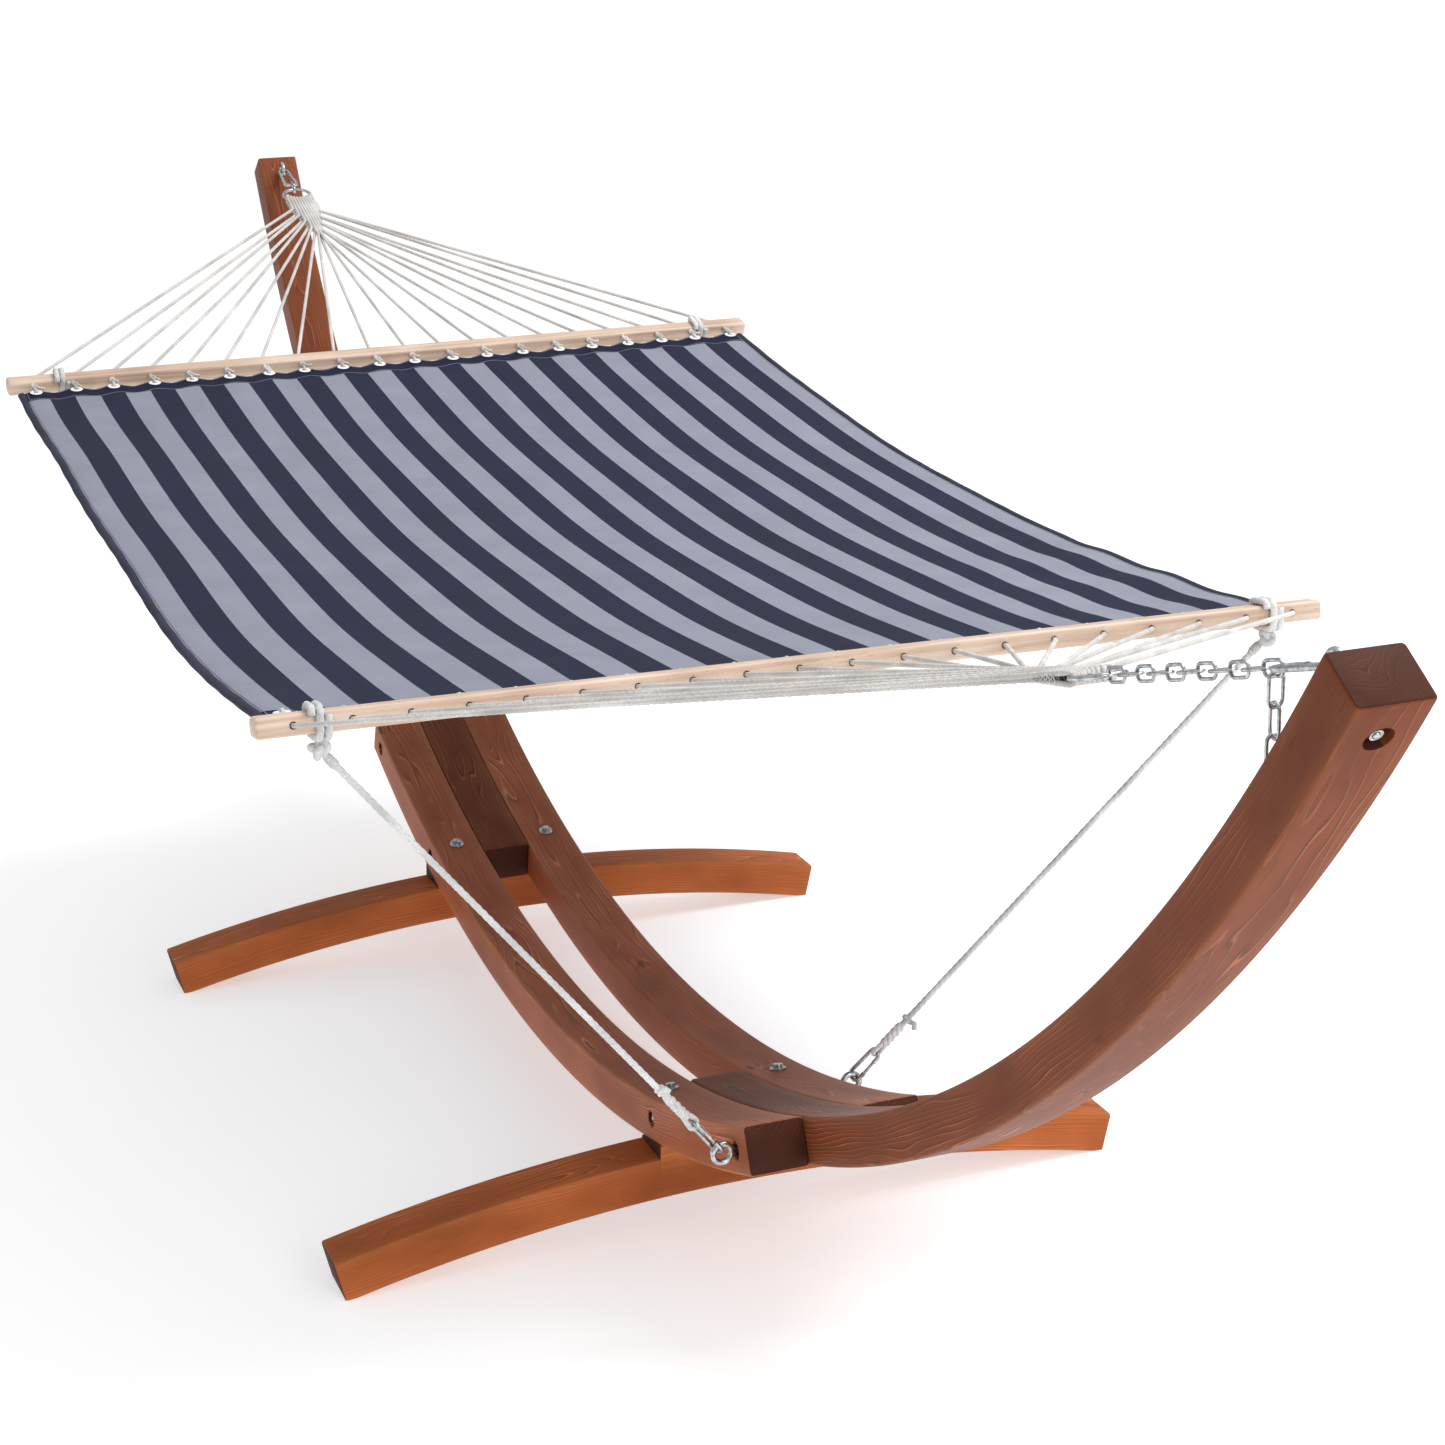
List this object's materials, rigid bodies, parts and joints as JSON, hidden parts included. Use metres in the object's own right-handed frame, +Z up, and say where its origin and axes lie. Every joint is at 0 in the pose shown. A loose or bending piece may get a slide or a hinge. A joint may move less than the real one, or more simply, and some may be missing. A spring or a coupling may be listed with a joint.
{
  "type": "hammock on stand",
  "caption": "Curved wooden stand on two arched cross feet carrying a striped quilted bed hammock with spreader bars, cord fans, chain, snap hooks and side tie ropes.",
  "frame": {"origin": "on the floor, under the middle of the stand", "axes": "+X along the stand towards the arm that carries the chain, +Y across it, +Z up"},
  "size_m": [4.127, 1.4, 1.2151],
  "materials": {
    "stained_larch": "reddish-brown translucent stain, satin, on laminated larch with strong growth-ring figure",
    "bar_wood": "pale hardwood, sanded and clear-coated, satin",
    "bed_fabric": "woven polyester with blue-black and blue-grey cross stripes, quilted, matt",
    "cotton_cord": "off-white twisted cotton-polyester cord, matt",
    "white_rope": "white twisted polyester rope, slight sheen",
    "zinc_steel": "bright zinc-plated steel"
  },
  "bodies": {
    "stand": {"far_arm": "stained_larch", "far_arm_eye": "zinc_steel", "far_arm_nut": "zinc_steel", "far_foot": "stained_larch", "far_inner_cross_bolt": "zinc_steel", "far_inner_nut": "zinc_steel", "far_left_foot_screw": "zinc_steel", "far_outer_cross_bolt": "zinc_steel", "far_outer_nut": "zinc_steel", "far_right_foot_screw": "zinc_steel", "left_rail": "stained_larch", "left_tie_eye": "zinc_steel", "left_tie_eye_nut": "zinc_steel", "left_tie_hook": "zinc_steel", "near_arm": "stained_larch", "near_arm_eye": "zinc_steel", "near_arm_nut": "zinc_steel", "near_foot": "stained_larch", "near_left_foot_screw": "zinc_steel", "near_right_foot_screw": "zinc_steel", "right_rail": "stained_larch", "right_tie_eye": "zinc_steel", "right_tie_eye_nut": "zinc_steel", "right_tie_hook": "zinc_steel"},
    "hammock": {"chain_link_01": "zinc_steel", "chain_link_02": "zinc_steel", "chain_link_03": "zinc_steel", "chain_link_04": "zinc_steel", "chain_link_05": "zinc_steel", "chain_link_06": "zinc_steel", "chain_link_07": "zinc_steel", "chain_link_08": "zinc_steel", "chain_link_09": "zinc_steel", "chain_link_10": "zinc_steel", "chain_link_11": "zinc_steel", "fabric_bed": "bed_fabric", "far_cord_fan": "cotton_cord", "far_hook": "zinc_steel", "far_left_bar_loop": "white_rope", "far_link": "zinc_steel", "far_right_bar_loop": "white_rope", "far_ring": "zinc_steel", "far_spreader_bar": "bar_wood", "left_tie_rope": "white_rope", "near_cord_fan": "cotton_cord", "near_hook": "zinc_steel", "near_ring": "zinc_steel", "near_spreader_bar": "bar_wood", "right_tie_rope": "white_rope"},
    "near_gate": {"near_hook_gate": "zinc_steel"},
    "far_gate": {"far_hook_gate": "zinc_steel"},
    "left_tie_gate": {"left_tie_hook_gate": "zinc_steel"},
    "right_tie_gate": {"right_tie_hook_gate": "zinc_steel"},
    "hanging_spare_link_1": {"spare_link_1": "zinc_steel"},
    "hanging_spare_link_2": {"spare_link_2": "zinc_steel"},
    "hanging_spare_link_3": {"spare_link_3": "zinc_steel"}
  },
  "joints": [
    {"name": "hammock_swing", "type": "hinge", "parent": "stand", "child": "hammock", "pos_m": [0, 0, 1.18773], "axis": [1, 0, 0], "range_deg": [-3, 3], "deforming": ["left_tie_rope", "right_tie_rope"]},
    {"name": "near_gate_open", "type": "hinge", "parent": "hammock", "child": "near_gate", "pos_m": [1.91827, 0.01092, 1.17163], "axis": [0.287, 0, -0.9579], "range_deg": [0, 16], "stiffness_Nm_per_rad": 0.05, "springref_deg": -11.46},
    {"name": "far_gate_open", "type": "hinge", "parent": "hammock", "child": "far_gate", "pos_m": [-1.91367, 0.01098, 1.17735], "axis": [0.2905, 0, 0.9569], "range_deg": [0, 16], "stiffness_Nm_per_rad": 0.05, "springref_deg": -11.46},
    {"name": "left_tie_gate_open", "type": "hinge", "parent": "stand", "child": "left_tie_gate", "pos_m": [0.88576, -0.15201, 0.2853], "axis": [0.4067, -0.7091, -0.576], "range_deg": [0, 20], "stiffness_Nm_per_rad": 0.05, "springref_deg": -11.46},
    {"name": "right_tie_gate_open", "type": "hinge", "parent": "stand", "child": "right_tie_gate", "pos_m": [0.57111, 0.19493, 0.18103], "axis": [0.3776, -0.8483, 0.3713], "range_deg": [0, 20], "stiffness_Nm_per_rad": 0.05, "springref_deg": -11.46},
    {"name": "spare_link_1_swing", "type": "hinge", "parent": "hammock", "child": "hanging_spare_link_1", "pos_m": [1.88369, 0, 1.15375], "axis": [0.9579, 0, 0.287], "range_deg": [-12, 12]},
    {"name": "spare_link_2_swing", "type": "hinge", "parent": "hanging_spare_link_1", "child": "hanging_spare_link_2", "pos_m": [1.88243, 0, 1.12497], "axis": [0, 1, 0], "range_deg": [-5, 12]},
    {"name": "spare_link_3_swing", "type": "hinge", "parent": "hanging_spare_link_2", "child": "hanging_spare_link_3", "pos_m": [1.88243, 0, 1.09637], "axis": [1, 0, 0], "range_deg": [-15, 15]}
  ]
}
